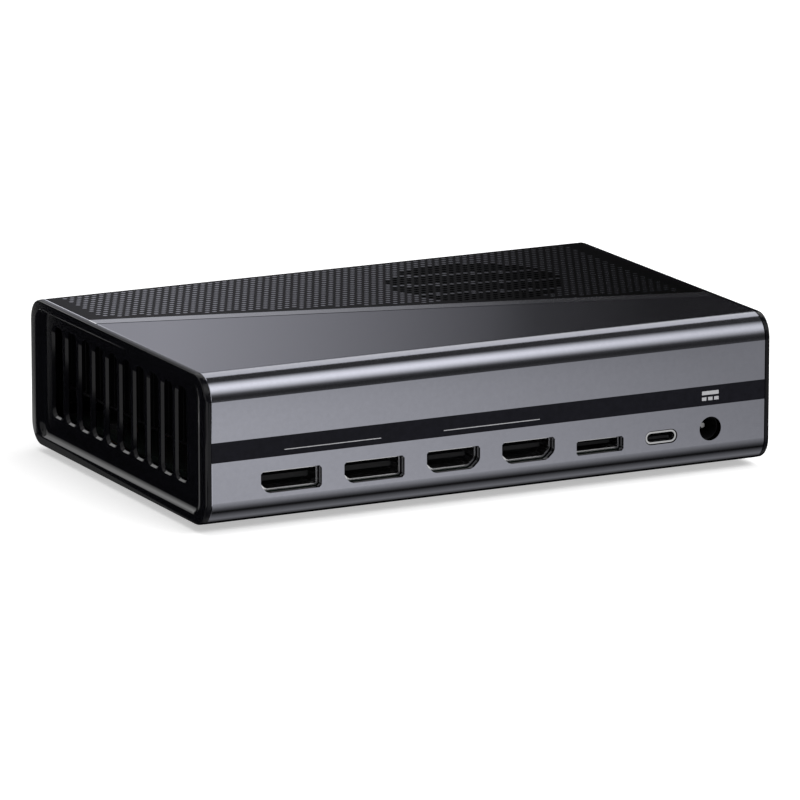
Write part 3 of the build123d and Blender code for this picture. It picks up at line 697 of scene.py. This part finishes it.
def stage_card(name, corners, material):
    """Flat four-cornered card of the studio, not part of the object."""
    mesh = bpy.data.meshes.new(name)
    mesh.from_pydata(corners, [], [(0, 1, 2, 3)])
    mesh.materials.append(material)
    card = bpy.data.objects.new(name, mesh)
    scene.collection.objects.link(card)
    return card


def glow(name, level, fades, curve, tint):
    """Even light, or light that fades along X, Y or Z from one place and level to another."""
    material, tree_nodes, links, shader = new_material(name)
    shader.inputs["Base Color"].default_value = (0.0, 0.0, 0.0, 1.0)
    shader.inputs["Specular IOR Level"].default_value = 0.0
    shader.inputs["Emission Color"].default_value = (*tint, 1.0)
    shader.inputs["Emission Strength"].default_value = level
    place = tree_nodes.new("ShaderNodeTexCoord")
    axes = tree_nodes.new("ShaderNodeSeparateXYZ")
    links.new(place.outputs["Object"], axes.inputs["Vector"])
    strength = None
    for axis, start, end, start_level, end_level in fades:
        fade = tree_nodes.new("ShaderNodeMapRange")
        fade.interpolation_type = curve
        fade.inputs["From Min"].default_value = start
        fade.inputs["From Max"].default_value = end
        fade.inputs["To Min"].default_value = start_level
        fade.inputs["To Max"].default_value = end_level
        links.new(axes.outputs[axis], fade.inputs["Value"])
        product = tree_nodes.new("ShaderNodeMath")
        product.operation = "MULTIPLY"
        product.inputs[1].default_value = level
        links.new(fade.outputs["Result"], product.inputs[0])
        if strength is not None:
            links.new(strength, product.inputs[1])
        strength = product.outputs["Value"]
    if strength is not None:
        links.new(strength, shader.inputs["Emission Strength"])
    return material


def reflected_card(name, corners, fades=(), curve="LINEAR", tint=white):
    """Card that only shows in reflections, as a photographer's flag or panel does out of the frame."""
    card = stage_card(name, corners, glow(name, card_levels[name], fades, curve, tint))
    card.visible_camera = False
    card.visible_diffuse = False
    card.visible_transmission = False
    card.visible_volume_scatter = False
    card.visible_shadow = False


def across(span, first, second):
    """Corners of a card that spans X between two edges, each given by its Y and Z."""
    left, right = span
    return [(left, *first), (right, *first), (right, *second), (left, *second)]


floor_paint, _, _, floor_shader = new_material("pale_floor")
floor_shader.inputs["Base Color"].default_value = (*floor_colour, 1.0)
floor_shader.inputs["Roughness"].default_value = floor_roughness
floor_shader.inputs["Specular IOR Level"].default_value = 0.0
floor_shader.inputs["Emission Color"].default_value = (*white, 1.0)
floor_shader.inputs["Emission Strength"].default_value = floor_glow
floor_span = (-floor_reach, floor_reach)
stage_card("floor", across(floor_span, (-floor_reach, 0.0), (floor_reach, 0.0)), floor_paint)

# Cards behind and above the enclosure
reflected_card("back_panel", across(panel_span, panel_foot, panel_top), panel_fades, tint=panel_tint)
reflected_card("left_glow", across(glow_span, glow_foot, glow_top), glow_fades)
reflected_card("sill_glow", [(x, sill_wall, z) for x, z in sill_places])
reflected_card("high_panel", across(ceiling_span, panel_top, ceiling_rear))
reflected_card("overhead_flag", across(ceiling_span, ceiling_rear, ceiling_front))

# Cards in front of it and under it
reflected_card("front_strip", across(strip_span, strip_foot, strip_top), strip_fades, "SMOOTHSTEP")
reflected_card("front_flag", across(front_span, front_foot, front_top))
reflected_card("far_floor_flag", across(front_span, floor_far, sheet_far))
reflected_card("front_sheet", across(sheet_span, sheet_far, sheet_near), sheet_fades)
reflected_card("edge_glint", across(case_span, sheet_near, glint_near), glint_fades)
reflected_card("under_flag", across(case_span, glint_near, under_rear))

# Cards on the floor to its left: a dark flag, and on it the patches seen in the cap's edges and slots
for name, (height, places) in floor_patches.items():
    reflected_card(name, [(x, y, height) for x, y in places])


def area_lamp(name, place, aim, size, power):
    """Soft rectangular lamp that faces a point and leaves reflections to the cards."""
    data = bpy.data.lights.new(name, "AREA")
    data.shape = "RECTANGLE"
    data.size, data.size_y = size
    data.energy = power
    lamp = bpy.data.objects.new(name, data)
    lamp.location = place
    lamp.rotation_euler = (Vector(aim) - Vector(place)).to_track_quat("-Z", "Y").to_euler()
    lamp.visible_glossy = False
    scene.collection.objects.link(lamp)


area_lamp("front_key", place=(0.4, -0.7, 0.65), aim=(0.0, -0.05, 0.03), size=(1.2, 0.35), power=8.0)
area_lamp("top_fill", place=(0.0, 0.2, 1.6), aim=(0.0, 0.0, 0.0), size=(1.6, 1.6), power=14.0)

# Sky: white where it is seen, mirrored or looked through to, and dimmer as a fill light
world = bpy.data.worlds.new("studio")
scene.world = world
world.use_nodes = True
world_nodes, world_links = world.node_tree.nodes, world.node_tree.links
background = world_nodes["Background"]
background.inputs["Color"].default_value = (*white, 1.0)
rays = world_nodes.new("ShaderNodeLightPath")
seen = world_nodes.new("ShaderNodeMath")
seen.operation = "MAXIMUM"
world_links.new(rays.outputs["Is Camera Ray"], seen.inputs[0])
world_links.new(rays.outputs["Is Glossy Ray"], seen.inputs[1])
shown = world_nodes.new("ShaderNodeMath")
shown.operation = "MAXIMUM"
world_links.new(seen.outputs["Value"], shown.inputs[0])
world_links.new(rays.outputs["Is Transmission Ray"], shown.inputs[1])
ambient = world_nodes.new("ShaderNodeMapRange")
ambient.inputs["To Min"].default_value = sky_fill
ambient.inputs["To Max"].default_value = sky_seen
world_links.new(shown.outputs["Value"], ambient.inputs["Value"])
world_links.new(ambient.outputs["Result"], background.inputs["Strength"])

# Camera at the photograph's viewing angle
camera_data = bpy.data.cameras.new("camera")
camera_data.lens = camera_lens
camera_data.sensor_width = camera_sensor
camera_data.clip_start, camera_data.clip_end = camera_clip
camera = bpy.data.objects.new("camera", camera_data)
camera.location = camera_place
camera.rotation_euler = (math.radians(90.0 - camera_drop), 0.0, math.radians(-camera_turn))
scene.collection.objects.link(camera)
scene.camera = camera
scene.view_settings.view_transform = "Standard"
